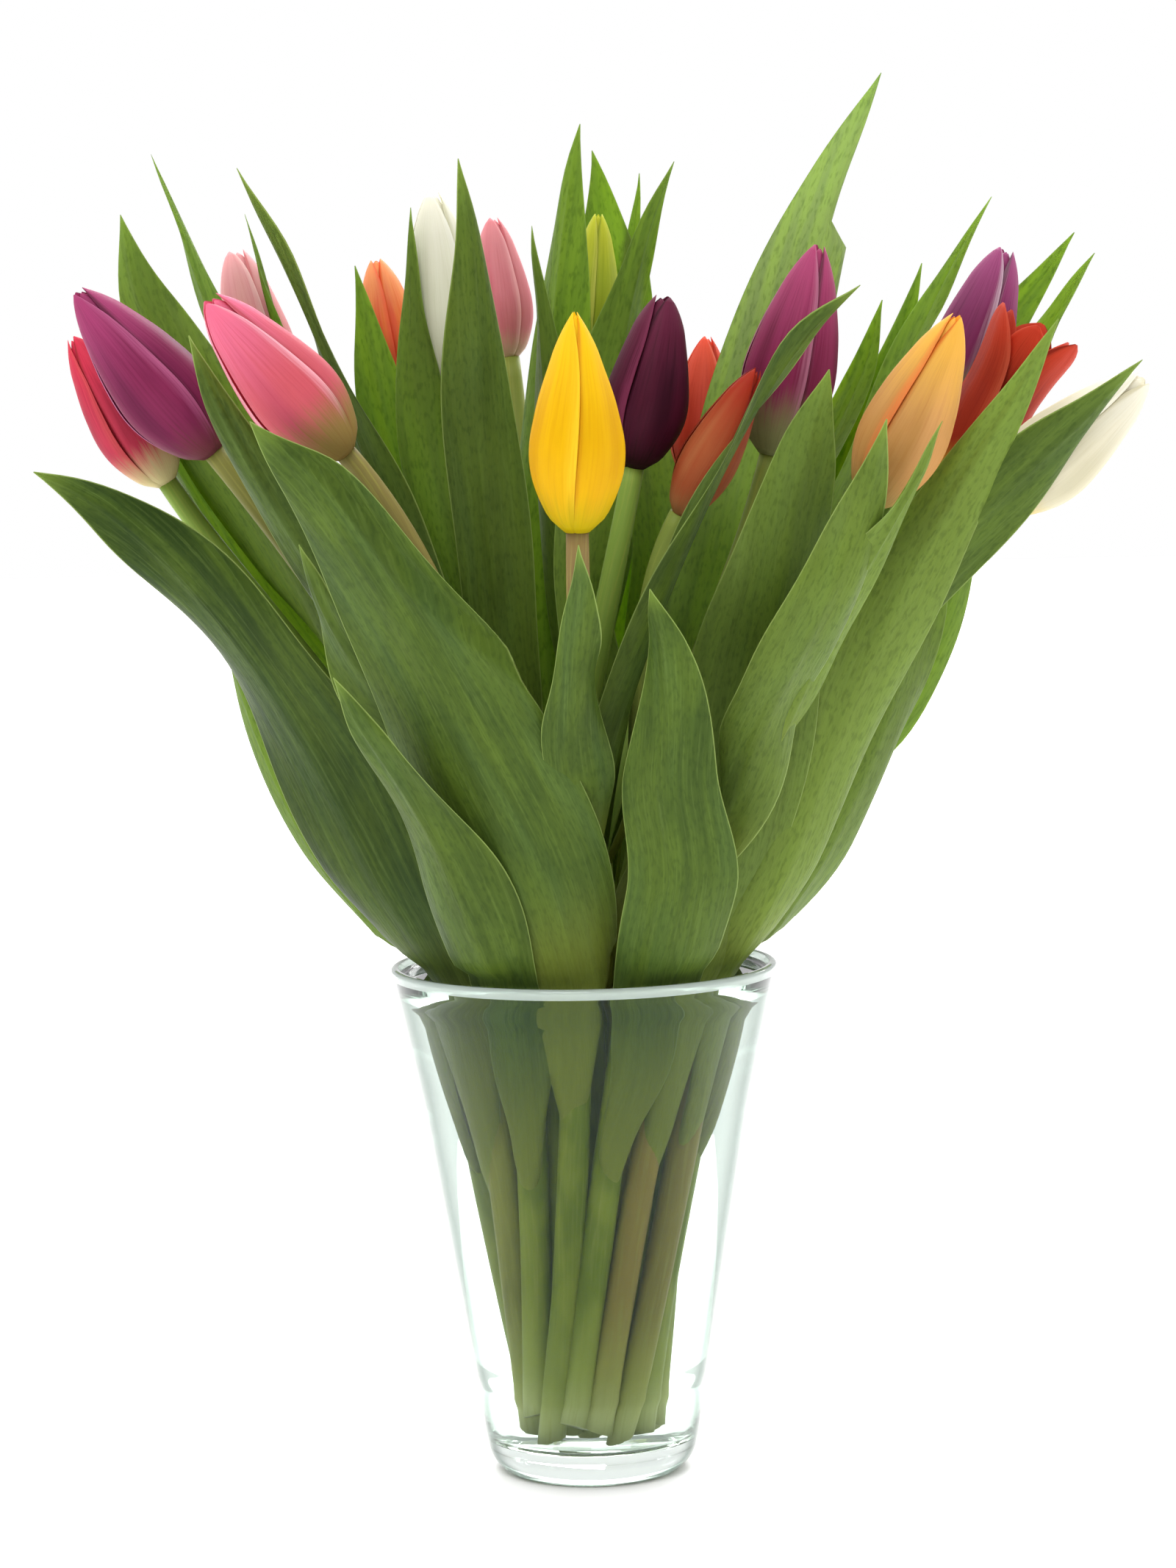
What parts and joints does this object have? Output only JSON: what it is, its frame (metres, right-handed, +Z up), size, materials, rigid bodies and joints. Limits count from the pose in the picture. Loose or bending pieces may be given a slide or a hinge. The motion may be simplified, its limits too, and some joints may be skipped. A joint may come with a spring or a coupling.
{
  "type": "tulips in a vase",
  "caption": "Bunch of mixed cut tulips, buds and long folded leaves, standing in water in a plain clear glass vase that flares to the rim",
  "frame": {"origin": "centre of the vase's flat underside, on the surface that it stands on", "axes": "+Z up; -Y towards the side of the bunch that the picture shows; +X to that view's right"},
  "size_m": [0.3476, 0.2619, 0.4482],
  "materials": {
    "leaf_and_stem": "satin",
    "clear_glass": "gloss",
    "water": "gloss",
    "petals_yellow": "satin",
    "petals_slim_red": "satin",
    "petals_purple": "satin",
    "petals_pink": "satin",
    "petals_apricot": "satin",
    "petals_cream": "satin",
    "petals_crimson": "satin",
    "petals_dark_purple": "satin",
    "petals_magenta": "satin",
    "petals_white_tall": "satin",
    "petals_red_centre": "satin",
    "petals_mauve": "satin",
    "petals_open_red": "satin",
    "petals_blush": "satin",
    "petals_flame": "satin",
    "petals_lime": "satin",
    "petals_rose": "satin",
    "petals_coral": "satin",
    "petals_gold": "satin",
    "petals_violet": "satin"
  },
  "bodies": {
    "root": {"leafy_stem_yellow": "leaf_and_stem", "bloom_yellow": "petals_yellow", "leafy_stem_slim_red": "leaf_and_stem", "bloom_slim_red": "petals_slim_red", "leafy_stem_purple": "leaf_and_stem", "bloom_purple": "petals_purple", "leafy_stem_pink": "leaf_and_stem", "bloom_pink": "petals_pink", "leafy_stem_apricot": "leaf_and_stem", "bloom_apricot": "petals_apricot", "leafy_stem_cream": "leaf_and_stem", "bloom_cream": "petals_cream", "leafy_stem_crimson": "leaf_and_stem", "bloom_crimson": "petals_crimson", "leafy_stem_dark_purple": "leaf_and_stem", "bloom_dark_purple": "petals_dark_purple", "leafy_stem_magenta": "leaf_and_stem", "bloom_magenta": "petals_magenta", "leafy_stem_white_tall": "leaf_and_stem", "bloom_white_tall": "petals_white_tall", "leafy_stem_red_centre": "leaf_and_stem", "bloom_red_centre": "petals_red_centre", "leafy_stem_mauve": "leaf_and_stem", "bloom_mauve": "petals_mauve", "leafy_stem_open_red": "leaf_and_stem", "bloom_open_red": "petals_open_red", "leafy_stem_blush": "leaf_and_stem", "bloom_blush": "petals_blush", "leafy_stem_flame": "leaf_and_stem", "bloom_flame": "petals_flame", "leafy_stem_lime": "leaf_and_stem", "bloom_lime": "petals_lime", "leafy_stem_rose": "leaf_and_stem", "bloom_rose": "petals_rose", "leafy_stem_coral": "leaf_and_stem", "bloom_coral": "petals_coral", "leafy_stem_gold": "leaf_and_stem", "bloom_gold": "petals_gold", "leafy_stem_violet": "leaf_and_stem", "bloom_violet": "petals_violet", "vase": "clear_glass", "water": "water"}
  },
  "joints": []
}
